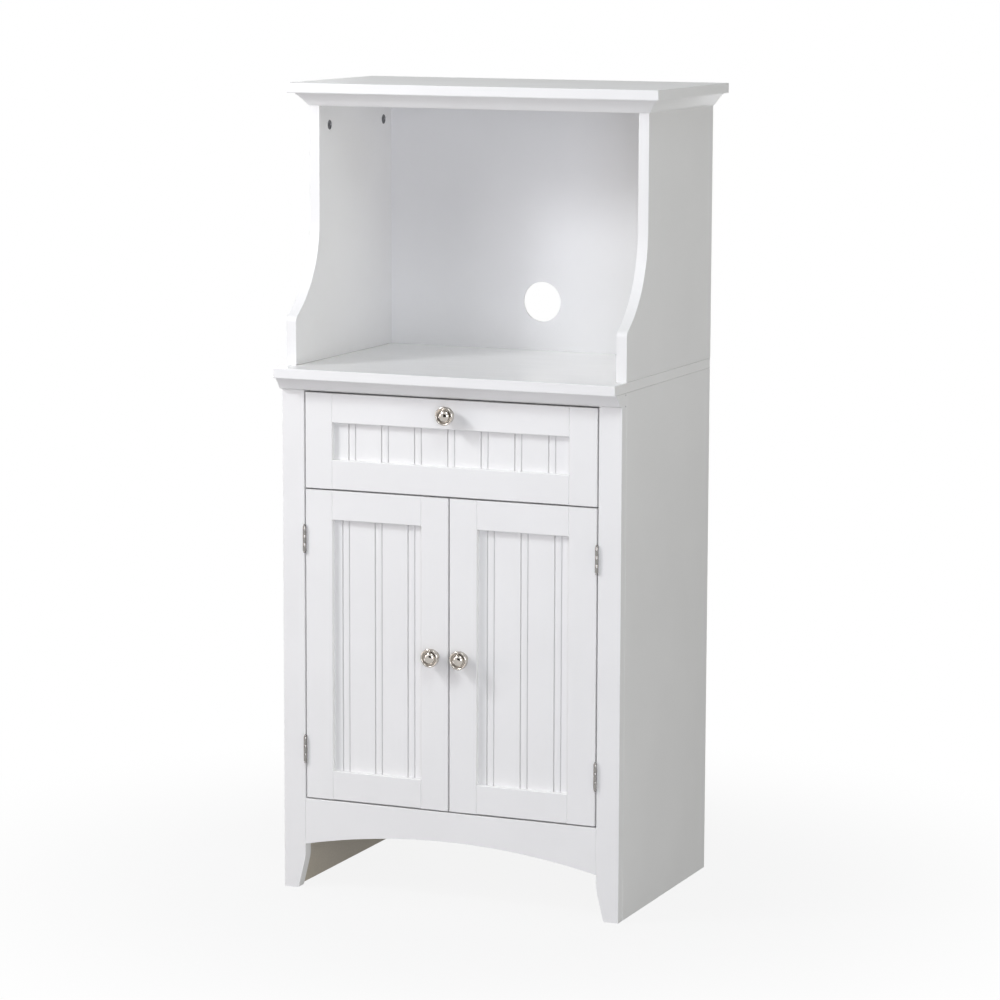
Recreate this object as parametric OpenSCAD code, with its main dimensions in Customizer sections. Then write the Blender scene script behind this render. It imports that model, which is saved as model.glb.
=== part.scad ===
// Microwave cabinet: an open hutch over a counter, one drawer and two inset doors.
// Millimetres. X runs to the right, Y to the back, Z up. The origin is on the floor,
// under the middle of the overall width and depth.

/* [Overall] */
// Width over the top board
overall_w = 596.9; // [500:0.1:760]
// Depth from the counter's front edge to the rear edges
overall_d = 400; // [340:0.5:500]
// Height from the floor to the top of the top board
overall_h = 1219.2; // [1130:0.1:1480]
// Height of the counter's upper face
counter_h = 800; // [740:0.5:960]

/* [Boards] */
// Thickness of the top board, counter, cabinet floor and shelf
board_t = 15; // [12:0.5:20]
// Thickness of the side panels
side_t = 16; // [14:0.5:20]
// Thickness of the hardboard back panels
back_t = 3; // [2.5:0.1:6]
// Distance from the rear edges of the sides to the back panels
back_inset = 10; // [6:0.5:20]
// Depth of the grooves that hold the back panels and the drawer bottom
groove_d = 6; // [3:0.5:8]
// Clearance between a panel and each face of its groove
groove_clear = 0.1; // [0.05:0.05:0.5]
// Radius of the eased edges of the painted boards
ease_r = 1; // [0.3:0.1:2]

/* [Mouldings] */
// Height of the cove mouldings
moulding_h = 19.75; // [18:0.25:26]
// Height of the flat lip at the top of a moulding
moulding_lip = 1.5; // [0.5:0.5:4]
// Height of the bevel at the bottom of a moulding
moulding_foot_h = 3; // [1:0.5:4]
// How far the face of a moulding leans in between its lip and its bevel
moulding_run = 13; // [8:0.5:13.5]
// Radius of the cove
cove_r = 70; // [40:1:200]
// Depth of the crown under the top board
crown_d = 16.5; // [14:0.5:22]
// Depth of the moulding under the counter
counter_moulding_d = 22; // [16:0.5:25]
// How far the top board stands past the side panels
top_overhang_side = 24.95; // [24:0.05:40]
// How far the top board stands past the front of the hutch
top_overhang_front = 29; // [24:0.5:45]

/* [Hutch] */
// Setback of the hutch sides from the counter's front edge
hutch_setback = 45.5; // [30:0.5:80]
// How far the upper part of the sides stands behind their foot
scoop_step = 82.5; // [40:1:120]
// Radius of the scooped front edge
scoop_r = 164; // [120:1:220]
// Radius of the nose between the scoop and the foot
nose_r = 12; // [4:1:30]
// Height of the straight foot above the counter
foot_h = 65; // [30:1:90]
// Diameter of the cable hole
cable_hole_d = 62; // [40:1:80]
// Height of the cable hole's centre above the counter
cable_hole_up = 76; // [50:1:120]

/* [Face frame] */
// How far the counter stands past the face frame
counter_overhang = 30; // [26:0.5:45]
// Width of the face frame's stiles
stile_w = 36; // [30:0.5:50]
// Thickness of the face frame
stile_t = 18; // [15:0.5:22]
// Width of a stile where it meets the floor
stile_foot_w = 24; // [16:0.5:30]
// Radius of the curve where a stile starts to taper
taper_r = 90; // [40:5:200]
// Height of the apron's upper edge
apron_top = 140.5; // [120:0.5:180]
// Height of the apron's lower edge at its ends
apron_end = 70; // [50:0.5:90]
// Rise of the arch under the apron
arch_rise = 25.5; // [10:0.5:40]
// Flat land at each end of the arch
arch_land = 1; // [0.5:0.5:20]

/* [Drawer front and doors] */
// Gap between a front and what is beside it
gap = 2.5; // [2.4:0.1:4]
// Gap between the back of a front and the rail behind it
back_gap = 0.4; // [0.3:0.1:2]
// Height of the drawer front
drawer_front_h = 144.25; // [140:0.25:200]
// Width of the stiles and rails of the fronts
rail_w = 44; // [35:0.5:55]
// Depth of the panel behind the face of its frame
panel_recess = 8; // [4:0.5:9]
// Thickness of the beaded panels
panel_t = 6; // [5:0.5:6.5]
// How far a panel reaches into its frame
tongue = 7; // [4:0.5:10]
// Distance between beads
bead_pitch = 53.75; // [30:0.25:80]
// Width of a bead
bead_w = 9.25; // [4:0.25:14]
// Width of the quirk at each side of a bead
quirk_w = 1.8; // [0.6:0.1:3]
// Depth of the quirks
quirk_d = 1.6; // [0.8:0.1:2.5]
// How far the edges of a bead fall below its crown
bead_drop = 0.6; // [0.3:0.1:0.8]

/* [Hinges] */
// Height of a hinge
hinge_h = 38; // [30:1:60]
// Distance from the end of a door to the middle of its hinge
hinge_inset = 75; // [50:1:110]
// Radius of the hinge barrel
barrel_r = 2.4; // [2.2:0.1:3.5]
// Radius of the hinge pin
hinge_pin_r = 1.2; // [0.8:0.1:1.4]
// Thickness of a hinge leaf
leaf_t = 1; // [0.6:0.1:1.1]
// Width of a hinge leaf behind the barrel
leaf_w = 15; // [8:0.5:17]

/* [Knobs] */
// Diameter of a knob
knob_d = 28.5; // [24:0.5:36]
// Projection of a knob
knob_h = 22; // [20:0.5:26]
// Distance of the door knobs below the middle of the doors
knob_drop = 2; // [0:0.5:80]

/* [Drawer box and slides] */
// Thickness of the drawer's sides and back
box_t = 12; // [9:0.5:16]
// Height of the drawer's sides
box_h = 100; // [60:1:115]
// Height of the drawer's sides above the lower edge of the drawer front
box_lift = 6.75; // [6:0.25:12]
// Thickness of the drawer bottom
box_bottom_t = 3; // [2.5:0.1:5]
// Height of the drawer bottom above the lower edge of the sides
box_bottom_up = 10; // [6:0.5:14]
// Room for a slide at each side of the drawer
slide_gap = 12.5; // [12:0.1:14]
// Thickness of the slides' sheet steel
sheet_t = 1.2; // [1:0.1:1.5]
// Radius of the slide rollers
roller_r = 7; // [6:0.5:7.5]
// Width of the slide rollers
roller_w = 6; // [4:0.5:6.5]
// Radius of the roller axles
axle_r = 2; // [1.5:0.1:2.5]

/* [Inside] */
// Height of the rail between the drawer and the doors
divider_h = 24; // [18:1:40]
// Thickness of that rail
divider_t = 18; // [12:0.5:22]
// Height of the cleats that carry the slides
cleat_h = 40; // [30:1:60]
// Height of the shelf above the cabinet floor
shelf_up = 228.5; // [120:0.5:330]
// Radius of the shelf pins
shelf_pin_r = 2.5; // [2:0.5:3]
// Spacing of the shelf pin holes
shelf_pin_pitch = 32; // [20:1:64]
// Radius of the cam locks
cam_r = 7.5; // [6:0.5:8]
// Distance from the top board to the cam locks in the hutch
hutch_cam_drop = 50; // [30:1:60]
// Distance from the counter to the cam locks in the cabinet
base_cam_drop = 34; // [24:1:50]

/* [Hidden] */

// Colours
paint = [0.95, 0.95, 0.94];
shade_paint = [0.90, 0.91, 0.93];
nickel = [0.78, 0.76, 0.73];
steel = [0.70, 0.71, 0.72];
nylon = [0.92, 0.92, 0.90];

// Fits shared by several pieces
pin_fit = 0.05;      // radial clearance of a pin or axle in its bore
running_gap = 0.3;   // gap between pieces that pass each other
edge_slack = 0.5;    // how far a panel stops short of the bottom of its groove
past = 1;            // how far a cutter runs past what it cuts

// Widths
body_w = overall_w - 2 * top_overhang_side;
half_body = body_w / 2;
inner_x = half_body - side_t;
open_x = half_body - stile_w;
side_mid_x = half_body - side_t / 2;

// Depths
front_y = -overall_d / 2;
rear_y = overall_d / 2;
back_panel_y = rear_y - back_inset - back_t;
face_y = front_y + counter_overhang;
frame_back_y = face_y + stile_t;
hutch_foot_y = front_y + hutch_setback;
hutch_top_y = hutch_foot_y + scoop_step;
top_front_y = hutch_top_y - top_overhang_front;

// Heights
top_z = overall_h - board_t;
counter_z = counter_h - board_t;
drawer_z1 = counter_z - moulding_h - gap;
drawer_z0 = drawer_z1 - drawer_front_h;
door_z1 = drawer_z0 - gap;
door_z0 = apron_top + gap;

// How far the cutters of the crown's mitres reach
mitre = crown_d + past;
moulding_edge = 0.5;    // depth of a moulding at its lower edge

// Scooped front edge of the hutch sides
scoop_angle = acos(1 - scoop_step / (scoop_r + nose_r));
nose_z = counter_h + foot_h;
scoop_z = nose_z + (scoop_r + nose_r) * sin(scoop_angle);
scoop_steps = 32;
nose_steps = 6;
ease_steps = 3;

// Frames and panels of the drawer front and doors
front_back_y = frame_back_y - back_gap;
front_t = front_back_y - face_y;
panel_y = face_y + panel_recess;
panel_groove_d = tongue + edge_slack;
front_x1 = open_x - gap;
door_x0 = gap / 2;
bead_margin = 8;     // least distance from the outer bead to the frame

// Hinges
knuckle_gap = 0.3;
knuckle_h = (hinge_h - 2 * knuckle_gap) / 3;
corner_gap = 0.25;   // gap between the barrel and the corners of the wood
hinge_x = open_x - gap / 2;
hinge_y = face_y - sqrt(pow(barrel_r + corner_gap, 2) - pow(gap / 2, 2));
hinge_zs = [door_z0 + hinge_inset - hinge_h / 2, door_z1 - hinge_inset - hinge_h / 2];
pin_tip_r = 1.7;
pin_cap_h = 0.6;

// Knobs
knob_screw_r = 2;
knob_screw_bite = 10;
door_knob_x = door_x0 + rail_w / 2;
door_knob_z = (door_z0 + door_z1) / 2 - knob_drop;
drawer_knob_z = drawer_z1 - rail_w / 2;

// Divider rail and catches
divider_z1 = drawer_z0 + 2.75;
divider_z0 = divider_z1 - divider_h;
catch_size = [40, 15, 13];
strike_size = [28, 1, 11];
catch_x = door_x0 + rail_w / 2 + 2;
catch_y = front_back_y + strike_size.y + running_gap;

// Slides, in the standard length that the cabinet has room for
slide_length_step = 50;
slide_room_behind = 30;
slide_l = slide_length_step
    * floor((back_panel_y - frame_back_y - slide_room_behind) / slide_length_step);
slide_y0 = frame_back_y + 2;
slide_y1 = slide_y0 + slide_l;
roller_inset = 10;
roller_gap = 0.25;
box_x = open_x - slide_gap;
box_z0 = drawer_z0 + box_lift;
box_z1 = box_z0 + box_h;
box_y1 = slide_y1 + 12;
leg_x = box_x + sheet_t;
web_x = open_x - sheet_t;
track_edge_x = leg_x + 0.8;
track_z0 = box_z0 + 0.8;
track_z = track_z0 + sheet_t;
channel_z1 = track_z + 2 * (roller_r + roller_gap) + sheet_t;
runner_flange_z = channel_z1 + 1.1;
runner_flange_x = web_x - 2;
runner_z1 = runner_flange_z + sheet_t;
roller_x = (leg_x + web_x) / 2;
channel_roller_y = slide_y0 + roller_inset;
channel_roller_z = runner_flange_z - roller_gap - roller_r;
runner_roller_y = slide_y1 - roller_inset;
runner_roller_z = track_z + roller_gap + roller_r;
axle_head_r = axle_r + 1.4;
axle_head_t = 0.8;
axle_collar_r = axle_r + 1;

// Drawer box
box_inner_x = box_x - box_t;
bottom_z0 = box_z0 + box_bottom_up;
bottom_z1 = bottom_z0 + box_bottom_t;
bottom_edge_x = box_inner_x + groove_d - edge_slack;

// Shelf
shelf_z = apron_top + shelf_up;
shelf_y0 = frame_back_y + 24;
shelf_y1 = back_panel_y - 7;
shelf_x = inner_x - 0.75;
shelf_pin_ys = [shelf_y0 + 20, shelf_y1 - 30];
shelf_pin_bite = 8;
shelf_spoon_r = 4.5;
shelf_spoon_l = 8;
shelf_pin_z = shelf_z - 2;

// Cam locks
cam_depth = 12.5;
cam_bolt_r = 3;
cam_bolt_bite = 10;
cam_channel_r = cam_bolt_r + 0.5;
cam_slot_w = 2 * cam_channel_r;
cam_slot_low = 2.4;
hutch_cam_ys = [hutch_top_y + 36.5, rear_y - 41.5];
base_cam_ys = [frame_back_y + 42, rear_y - 41.5];
hutch_cam_z = top_z - hutch_cam_drop;
base_cam_z = counter_z - base_cam_drop;

// ---------- Shared shapes ----------

// Points of an arc about c, from angle a0 to a1 in n steps
function arc(c, r, a0, a1, n) =
    [for (i = [0:n]) c + r * [cos(a0 + (a1 - a0) * i / n), sin(a0 + (a1 - a0) * i / n)]];

// Rectangle from corner a to corner b with eased corners
module eased_rect(a, b, r = ease_r) {
    polygon(concat(
        arc([b.x - r, b.y - r], r, 0, 90, ease_steps),
        arc([a.x + r, b.y - r], r, 90, 180, ease_steps),
        arc([a.x + r, a.y + r], r, 180, 270, ease_steps),
        arc([b.x - r, a.y + r], r, 270, 360, ease_steps)));
}

// Extrusions along each axis. The child is drawn in (y, z), (x, z) or (x, y).
module along_x(x0, x1) translate([x0, 0, 0]) rotate([90, 0, 90]) linear_extrude(x1 - x0) children();
module along_y(y0, y1) translate([0, y1, 0]) rotate([90, 0, 0]) linear_extrude(y1 - y0) children();
module along_z(z0, z1) translate([0, 0, z0]) linear_extrude(z1 - z0) children();

// Plain block between two corners
module block(a, b) translate(a) cube(b - a);

// Flat board with every edge of its upper and lower faces eased
module eased_board(a, b) intersection() {
    along_x(a.x, b.x) eased_rect([a.y, a.z], [b.y, b.z]);
    along_y(a.y, b.y) eased_rect([a.x, a.z], [b.x, b.z]);
    along_z(a.z, b.z) eased_rect([a.x, a.y], [b.x, b.y]);
}

// Puts a piece drawn for the right side on the left
module on_left() mirror([1, 0, 0]) children();
module on_both() { children(); on_left() children(); }

// Cylinder along X between x0 and x1
module rod_x(x0, x1, r) translate([x0, 0, 0]) rotate([0, 90, 0]) cylinder(h = x1 - x0, r = r, $fn = 48);

// ---------- Mouldings ----------

// Section of a cove moulding d deep: x points out from the wall, y is 0 at its top
module moulding_section(d) {
    a = [d, -moulding_lip];
    b = [d - moulding_run, moulding_foot_h - moulding_h];
    chord = a - b;
    out = [chord.y, -chord.x] / norm(chord);
    centre = (a + b) / 2 + out * sqrt(pow(cove_r, 2) - pow(norm(chord) / 2, 2));
    difference() {
        polygon([[0, 0], [d, 0], a, b, [moulding_edge, -moulding_h], [0, -moulding_h]]);
        intersection() {
            translate(centre) circle(r = cove_r, $fn = 120);
            translate(b) square([d, moulding_h]);
        }
    }
}

module crown_front() color(paint) intersection() {
    along_x(-half_body - crown_d, half_body + crown_d)
        translate([hutch_top_y, top_z]) mirror([1, 0]) moulding_section(crown_d);
    along_z(top_z - moulding_h - past, top_z + past) polygon([
        [-half_body + past, hutch_top_y + past], [half_body - past, hutch_top_y + past],
        [half_body + mitre, hutch_top_y - mitre], [-half_body - mitre, hutch_top_y - mitre]]);
}

module crown_side() color(paint) intersection() {
    along_y(hutch_top_y - crown_d, rear_y) translate([half_body, top_z]) moulding_section(crown_d);
    along_z(top_z - moulding_h - past, top_z + past) polygon([
        [half_body - past, hutch_top_y + past], [half_body + mitre, hutch_top_y - mitre],
        [half_body + mitre, rear_y + past], [half_body - past, rear_y + past]]);
}

module counter_moulding() color(paint)
    along_x(-half_body, half_body)
        translate([face_y, counter_z]) mirror([1, 0]) moulding_section(counter_moulding_d);

// ---------- Hutch ----------

module bolt_bores(ys, z) {
    for (y = ys) translate([side_mid_x, y, z - past])
        cylinder(h = cam_bolt_bite + past, r = cam_bolt_r + pin_fit, $fn = 32);
}

module top_board() color(paint) difference() {
    eased_board([-overall_w / 2, top_front_y, top_z], [overall_w / 2, rear_y, overall_h]);
    on_both() bolt_bores(hutch_cam_ys, top_z);
}

// Bores for the cam locks and the channels for their bolts, in a right-hand side
module cam_bores(ys, z, top) {
    for (y = ys) {
        translate([0, y, z]) rod_x(inner_x - past, inner_x + cam_depth + groove_clear, cam_r + pin_fit);
        translate([side_mid_x, y, z]) cylinder(h = top - z + past, r = cam_channel_r, $fn = 32);
    }
}

// Groove for a back panel, in a right-hand side
module back_groove(z0, z1)
    block([inner_x - past, back_panel_y - groove_clear, z0],
          [inner_x + groove_d, back_panel_y + back_t + groove_clear, z1]);

// Scooped board whose lower and upper edges are eased, which leaves a fine V at the counter
module hutch_side() color(paint) difference() {
    intersection() {
        along_x(inner_x, half_body) polygon(concat(
            [[rear_y, counter_h], [rear_y, top_z], [hutch_top_y, top_z]],
            arc([hutch_top_y - scoop_r, scoop_z], scoop_r, 0, -scoop_angle, scoop_steps),
            [for (i = [1:nose_steps]) [hutch_foot_y + nose_r, nose_z]
                + nose_r * [cos(180 - scoop_angle * (1 - i / nose_steps)),
                            sin(180 - scoop_angle * (1 - i / nose_steps))]],
            [[hutch_foot_y, counter_h]]));
        along_y(hutch_foot_y, rear_y) eased_rect([inner_x, counter_h], [half_body, top_z]);
    }
    back_groove(counter_h - past, top_z + past);
    cam_bores(hutch_cam_ys, hutch_cam_z, top_z);
}

module hutch_back_panel() color(shade_paint)
    along_y(back_panel_y, back_panel_y + back_t) difference() {
        edge = inner_x + groove_d - edge_slack;
        translate([-edge, counter_h]) square([2 * edge, top_z - counter_h]);
        translate([0, counter_h + cable_hole_up]) circle(d = cable_hole_d, $fn = 96);
    }

module cam_lock() difference() {
    rod_x(0, cam_depth, cam_r);
    // slot that takes the end of the bolt
    translate([side_t / 2 - cam_slot_w / 2, -cam_slot_w / 2, -cam_slot_low])
        cube([cam_slot_w, cam_slot_w, cam_r + cam_slot_low + past]);
    // cross recess for the screwdriver
    for (turn = [0, 90]) rotate([turn, 0, 0])
        translate([-past, -0.7, -3]) cube([2 + past, 1.4, 6]);
}

module cam_locks() color(nickel) on_both() {
    for (y = hutch_cam_ys) translate([inner_x, y, hutch_cam_z]) cam_lock();
    for (y = base_cam_ys) translate([inner_x, y, base_cam_z]) cam_lock();
}

module cam_bolt(drop) translate([side_mid_x, 0, -2])
    cylinder(h = drop + 2 + cam_bolt_bite - groove_clear, r = cam_bolt_r, $fn = 32);

module cam_bolts() color(steel) on_both() {
    for (y = hutch_cam_ys) translate([0, y, hutch_cam_z]) cam_bolt(hutch_cam_drop);
    for (y = base_cam_ys) translate([0, y, base_cam_z]) cam_bolt(base_cam_drop);
}

// ---------- Cabinet ----------

module counter_board() color(paint) difference() {
    eased_board([-half_body, front_y, counter_z], [half_body, rear_y, counter_h]);
    on_both() bolt_bores(base_cam_ys, counter_z);
}

module frame_top_rail() color(paint)
    block([-open_x, face_y, counter_z - moulding_h], [open_x, frame_back_y, counter_z]);

// Upright whose inner edge curves away below the apron and then tapers to the floor
module stile() color(paint) intersection() {
    foot_x = half_body - stile_foot_w;
    foot_r = 3;
    taper_z = apron_end - 8;
    to_toe = [foot_x - open_x - taper_r, foot_r - taper_z];
    taper_a = atan2(-to_toe.y, -to_toe.x) - acos(taper_r / norm(to_toe));
    along_y(face_y, frame_back_y) polygon(concat(
        [[half_body, 0], [half_body, counter_z], [open_x, counter_z]],
        arc([open_x + taper_r, taper_z], taper_r, 180, 180 + taper_a, 8),
        arc([foot_x + foot_r, foot_r], foot_r, 180 + taper_a, 270, ease_steps)));
    along_z(0, counter_z) eased_rect([open_x, face_y], [half_body, frame_back_y]);
}

module apron() color(paint) intersection() {
    chord = open_x - arch_land;
    arch_r = (pow(chord, 2) + pow(arch_rise, 2)) / (2 * arch_rise);
    along_y(face_y, frame_back_y) difference() {
        translate([-open_x, apron_end]) square([2 * open_x, apron_top - apron_end]);
        translate([0, apron_end + arch_rise - arch_r]) circle(r = arch_r, $fn = 720);
    }
    along_x(-open_x, open_x)
        eased_rect([face_y, apron_end - 2 * ease_r], [frame_back_y, apron_top]);
    along_z(0, apron_top) eased_rect([-open_x, face_y], [open_x, frame_back_y]);
}

module base_side() color(paint) difference() {
    along_z(0, counter_z) eased_rect([inner_x, frame_back_y], [half_body, rear_y]);
    back_groove(apron_top - board_t, counter_z + past);
    cam_bores(base_cam_ys, base_cam_z, counter_z);
    for (y = shelf_pin_ys, step = [-1:1])
        translate([0, y, shelf_pin_z + step * shelf_pin_pitch])
            rod_x(inner_x - past, inner_x + shelf_pin_bite + groove_clear, shelf_pin_r + pin_fit);
}

module base_back_panel() color(shade_paint) {
    edge = inner_x + groove_d - edge_slack;
    block([-edge, back_panel_y, apron_top - board_t], [edge, back_panel_y + back_t, counter_z]);
}

module bottom_panel() color(paint)
    block([-inner_x, frame_back_y, apron_top - board_t], [inner_x, back_panel_y, apron_top]);

module divider_rail() color(paint)
    block([-inner_x, frame_back_y, divider_z0], [inner_x, frame_back_y + divider_t, divider_z1]);

module shelf() color(paint)
    along_x(-shelf_x, shelf_x) eased_rect([shelf_y0, shelf_z], [shelf_y1, shelf_z + board_t]);

// Peg in the side, and a spoon with a flat top under the shelf
module shelf_pins() color(steel) on_both()
    for (y = shelf_pin_ys) translate([0, y, shelf_pin_z]) {
        rod_x(inner_x - edge_slack, inner_x + shelf_pin_bite, shelf_pin_r);
        intersection() {
            rod_x(inner_x - shelf_spoon_l, inner_x, shelf_spoon_r);
            translate([inner_x - shelf_spoon_l, -shelf_spoon_r, -shelf_spoon_r])
                cube([shelf_spoon_l, 2 * shelf_spoon_r, shelf_spoon_r + shelf_z - shelf_pin_z]);
        }
    }

// ---------- Slides ----------

module slide_cleats() color(paint) on_both()
    block([open_x, frame_back_y, divider_z1], [inner_x, slide_y1, divider_z1 + cleat_h]);

// Axle riveted to a sheet face at x = root, with a collar, a shank and a head.
// side is 1 when it points to +X and -1 when it points to -X.
module axle(root, side) translate([root, 0, 0]) mirror([side < 0 ? 1 : 0, 0, 0]) {
    reach = (web_x - leg_x - roller_w) / 2 - running_gap;
    rod_x(-sheet_t / 2, reach, axle_collar_r);
    rod_x(0, reach + roller_w + 2 * running_gap + axle_head_t, axle_r);
    rod_x(reach + roller_w + 2 * running_gap, reach + roller_w + 2 * running_gap + axle_head_t,
          axle_head_r);
}

// Member on the cabinet: web, lower track and upper flange, cut back round the roller
module slide_channel() color(steel) {
    block([web_x, slide_y0, track_z0], [open_x, slide_y1, channel_z1]);
    block([track_edge_x, slide_y0, track_z0], [web_x + sheet_t / 2, slide_y1, track_z]);
    block([track_edge_x, channel_roller_y + roller_r + 2, channel_z1 - sheet_t],
          [web_x + sheet_t / 2, slide_y1, channel_z1]);
    translate([0, channel_roller_y, channel_roller_z]) axle(web_x, -1);
}

// Member on the drawer: leg beside the drawer, lip under it and flange over the roller
module slide_runner() color(steel) {
    block([box_x, slide_y0, box_z0 - sheet_t], [leg_x, slide_y1, runner_z1]);
    block([box_inner_x, slide_y0, box_z0 - sheet_t], [box_x + sheet_t / 2, slide_y1, box_z0]);
    block([leg_x - sheet_t / 2, slide_y0, runner_flange_z], [runner_flange_x, slide_y1, runner_z1]);
    translate([0, runner_roller_y, runner_roller_z]) axle(leg_x, 1);
}

module roller(y, z) color(nylon) translate([0, y, z]) difference() {
    rod_x(roller_x - roller_w / 2, roller_x + roller_w / 2, roller_r);
    rod_x(roller_x - roller_w, roller_x + roller_w, axle_r + pin_fit);
}

// ---------- Framed fronts ----------

// Bore for a knob's screw through a front
module knob_bore(x, z) translate([x, front_back_y + past, z]) rotate([90, 0, 0])
    cylinder(h = front_t + 2 * past, r = knob_screw_r + pin_fit, $fn = 32);

module panel_groove(a, b)
    block([a.x, panel_y - groove_clear, a.y], [b.x, panel_y + panel_t + groove_clear, b.y]);

// Upright of a framed front, with the panel groove in the edge at x0 or x1
module front_stile(x0, x1, z0, z1, groove_at_x1) difference() {
    along_z(z0, z1) eased_rect([x0, face_y], [x1, front_back_y]);
    if (groove_at_x1) panel_groove([x1 - panel_groove_d, z0 - past], [x1 + past, z1 + past]);
    else panel_groove([x0 - past, z0 - past], [x0 + panel_groove_d, z1 + past]);
}

// Rail of a framed front, with a tenon at each end and the panel groove above or below
module front_rail(x0, x1, z0, z1, groove_above) difference() {
    union() {
        intersection() {
            along_x(x0, x1) eased_rect([face_y, z0], [front_back_y, z1]);
            along_z(z0, z1) eased_rect([x0, face_y], [x1, front_back_y]);
        }
        block([x0 - tongue, panel_y, z0], [x1 + tongue, panel_y + panel_t, z1]);
    }
    g0 = groove_above ? z1 - panel_groove_d : z0 - past;
    g1 = groove_above ? z1 + past : z0 + panel_groove_d;
    panel_groove([x0 - panel_groove_d - past, g0], [x1 + panel_groove_d + past, g1]);
}

// Beaded panel for the opening x0..x1, z0..z1, with beads spaced out from its middle
module beaded_panel(x0, x1, z0, z1) {
    middle = (x0 + x1) / 2;
    each_side = floor(((x1 - x0) / 2 - bead_margin) / bead_pitch);
    crown_r = (pow(bead_w / 2, 2) + pow(bead_drop, 2)) / (2 * bead_drop);
    along_z(z0 - tongue, z1 + tongue) {
        difference() {
            translate([x0 - tongue, panel_y]) square([x1 - x0 + 2 * tongue, panel_t]);
            for (i = [-each_side:each_side]) translate([middle + i * bead_pitch, panel_y])
                square([bead_w + 2 * quirk_w, 2 * quirk_d], center = true);
        }
        for (i = [-each_side:each_side]) translate([middle + i * bead_pitch, panel_y])
            intersection() {
                translate([0, crown_r]) circle(r = crown_r, $fn = 64);
                translate([-bead_w / 2, 0]) square([bead_w, quirk_d + 0.5]);
            }
    }
}

// Turned knob with a base, a waist, a back rim, a broad front ring and a domed centre
module knob(x, z) color(nickel) translate([x, face_y, z]) rotate([90, 0, 0]) {
    ring_r = knob_d / 2;
    rim_r = ring_r - 1.2;
    bore_l = knob_screw_bite + 1;
    dome_r = 8.6;
    dome_h = 3.2;
    dome_curve = (pow(dome_r, 2) + pow(dome_h, 2)) / (2 * dome_h);
    dome_a = asin(dome_r / dome_curve);
    rotate_extrude($fn = 96) polygon(concat(
        [[0, bore_l], [knob_screw_r + pin_fit, bore_l], [knob_screw_r + pin_fit, 0]],
        [[8.2, 0], [8.5, 0.4], [8.5, 1.2]],
        arc([8.5, 4.2], 3, -90, -180, 6),
        [[5.4, 6.5]],
        arc([9.4, 6.5], 4, 180, 90, 6),
        arc([rim_r - 1.3, knob_h - 10.2], 1.3, -90, 90, 8),
        [[rim_r - 1.7, knob_h - 8.4], [ring_r - 0.5, knob_h - 5.4]],
        arc([ring_r - 1.8, knob_h - 3.2], 1.8, -15, 180, 10),
        [[ring_r - 3.8, knob_h - 4.6], [dome_r + 0.5, knob_h - 4.6], [dome_r, knob_h - dome_h]],
        arc([0, knob_h - dome_curve], dome_curve, 90 - dome_a, 90, 10)));
    // screw from the back of the front
    translate([0, 0, -front_t]) cylinder(h = front_t + knob_screw_bite, r = knob_screw_r, $fn = 32);
    translate([0, 0, -front_t - 2.2]) cylinder(h = 2.2, r = 2 * knob_screw_r, $fn = 32);
}

// ---------- Drawer ----------

// Groove for the drawer bottom, across the back of the drawer front
module drawer_bottom_groove()
    block([-bottom_edge_x - edge_slack, front_back_y - groove_d, bottom_z0 - groove_clear],
          [bottom_edge_x + edge_slack, front_back_y + past, bottom_z1 + groove_clear]);

module drawer_front_stile() color(paint) difference() {
    front_stile(front_x1 - rail_w, front_x1, drawer_z0, drawer_z1, false);
    drawer_bottom_groove();
}

module drawer_front_rail_top() color(paint) difference() {
    front_rail(rail_w - front_x1, front_x1 - rail_w, drawer_z1 - rail_w, drawer_z1, false);
    knob_bore(0, drawer_knob_z);
}

module drawer_front_rail_bottom() color(paint) difference() {
    front_rail(rail_w - front_x1, front_x1 - rail_w, drawer_z0, drawer_z0 + rail_w, true);
    drawer_bottom_groove();
}

module drawer_front_panel() color(paint)
    beaded_panel(rail_w - front_x1, front_x1 - rail_w, drawer_z0 + rail_w, drawer_z1 - rail_w);

module drawer_side() color(paint) difference() {
    along_y(front_back_y, box_y1) eased_rect([box_inner_x, box_z0], [box_x, box_z1]);
    block([box_inner_x - past, front_back_y - past, bottom_z0 - groove_clear],
          [box_inner_x + groove_d, box_y1 + past, bottom_z1 + groove_clear]);
}

module drawer_back() color(paint)
    along_x(-box_inner_x, box_inner_x)
        eased_rect([box_y1 - box_t, bottom_z1 + groove_clear], [box_y1, box_z1]);

module drawer_bottom() color(shade_paint)
    block([-bottom_edge_x, front_back_y - groove_d + edge_slack, bottom_z0],
          [bottom_edge_x, box_y1, bottom_z1]);

// ---------- Doors ----------

module door_hinge_stile() color(paint)
    front_stile(front_x1 - rail_w, front_x1, door_z0, door_z1, false);

module door_meeting_stile() color(paint) difference() {
    front_stile(door_x0, door_x0 + rail_w, door_z0, door_z1, true);
    knob_bore(door_knob_x, door_knob_z);
}

module door_top_rail() color(paint)
    front_rail(door_x0 + rail_w, front_x1 - rail_w, door_z1 - rail_w, door_z1, false);

module door_bottom_rail() color(paint)
    front_rail(door_x0 + rail_w, front_x1 - rail_w, door_z0, door_z0 + rail_w, true);

module door_panel() color(paint)
    beaded_panel(door_x0 + rail_w, front_x1 - rail_w, door_z0 + rail_w, door_z1 - rail_w);

module door_knob() knob(door_knob_x, door_knob_z);

module door_strike() color(steel)
    translate([catch_x - strike_size.x / 2, front_back_y, divider_z0 - catch_size.z / 2])
        translate([0, 0, -strike_size.z / 2]) cube(strike_size);

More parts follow.
